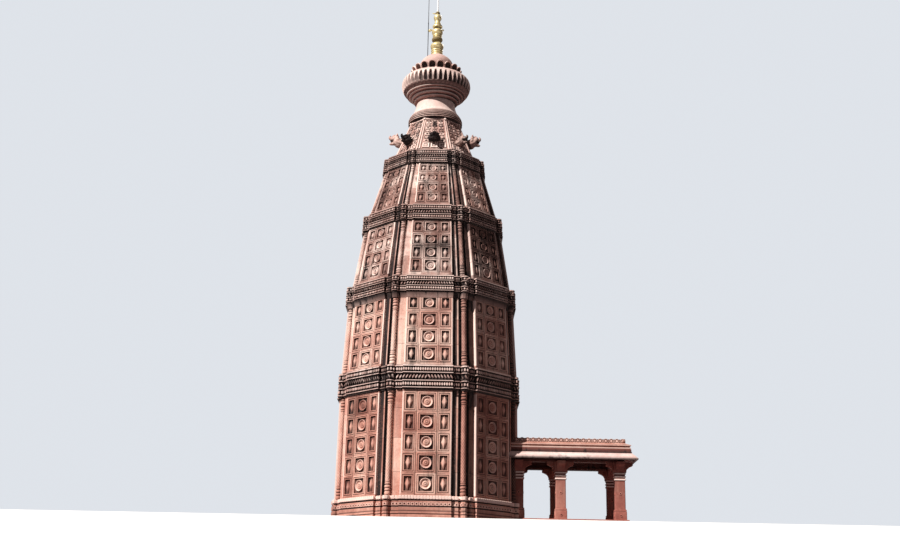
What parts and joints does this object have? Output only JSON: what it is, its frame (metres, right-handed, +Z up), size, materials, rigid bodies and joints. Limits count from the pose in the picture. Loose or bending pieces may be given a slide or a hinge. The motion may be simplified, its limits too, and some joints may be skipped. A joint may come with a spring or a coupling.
{
  "type": "hindu temple tower with a pillared side porch",
  "caption": "Octagonal red sandstone temple tower in tapering panelled stages with carved cornices, lion heads, ribbed cushion and gilded finial, and a flat-roofed pillared side porch.",
  "frame": {"origin": "the tower's axis at ground level, on the underside of the plinth", "axes": "+Z up the tower's axis; +X out through the doorway and along the porch; -Y is the front, the face square to the picture"},
  "size_m": [12.08, 7.5, 24.3],
  "materials": {
    "red_sandstone": "carved red sandstone, weathered dark in its joints",
    "cornice_stone": "carved red sandstone, blackened by rain",
    "pale_stone": "pale pink sandstone, smooth",
    "gilt_copper": "gilded copper, dulled",
    "dark_iron": "dark iron"
  },
  "bodies": {
    "root": {"plinth": "red_sandstone", "base_moulding": "red_sandstone", "doorway_wall": "red_sandstone", "lower_wall_north_east": "red_sandstone", "lower_wall_north": "red_sandstone", "lower_wall_north_west": "red_sandstone", "lower_wall_west": "red_sandstone", "lower_wall_south_west": "red_sandstone", "lower_wall_south": "red_sandstone", "lower_wall_south_east": "red_sandstone", "second_stage": "red_sandstone", "third_stage": "red_sandstone", "fourth_stage": "red_sandstone", "cornice_1": "cornice_stone", "cornice_2": "cornice_stone", "cornice_3": "cornice_stone", "cornice_4": "cornice_stone", "cone": "red_sandstone", "collar": "red_sandstone", "neck": "pale_stone", "bowl": "red_sandstone", "ribbed_cushion": "pale_stone", "petal_crown": "pale_stone", "dome": "pale_stone", "finial_lower_pot": "gilt_copper", "finial_middle_pot": "gilt_copper", "finial_upper_pot": "gilt_copper", "finial_spike": "gilt_copper", "lightning_rod": "dark_iron", "lion_east": "red_sandstone", "lion_north_east": "red_sandstone", "lion_north": "red_sandstone", "lion_north_west": "red_sandstone", "lion_west": "red_sandstone", "lion_south_west": "red_sandstone", "lion_south": "red_sandstone", "lion_south_east": "red_sandstone", "porch_floor": "red_sandstone", "porch_column_front_1": "red_sandstone", "porch_column_front_2": "red_sandstone", "porch_column_front_3": "red_sandstone", "porch_beam_front": "red_sandstone", "porch_column_rear_1": "red_sandstone", "porch_column_rear_2": "red_sandstone", "porch_column_rear_3": "red_sandstone", "porch_beam_rear": "red_sandstone", "porch_beam_end": "red_sandstone", "porch_roof": "red_sandstone", "eave_front": "pale_stone", "eave_end": "pale_stone", "eave_rear": "pale_stone", "porch_cornice": "red_sandstone", "porch_parapet": "red_sandstone"}
  },
  "joints": []
}
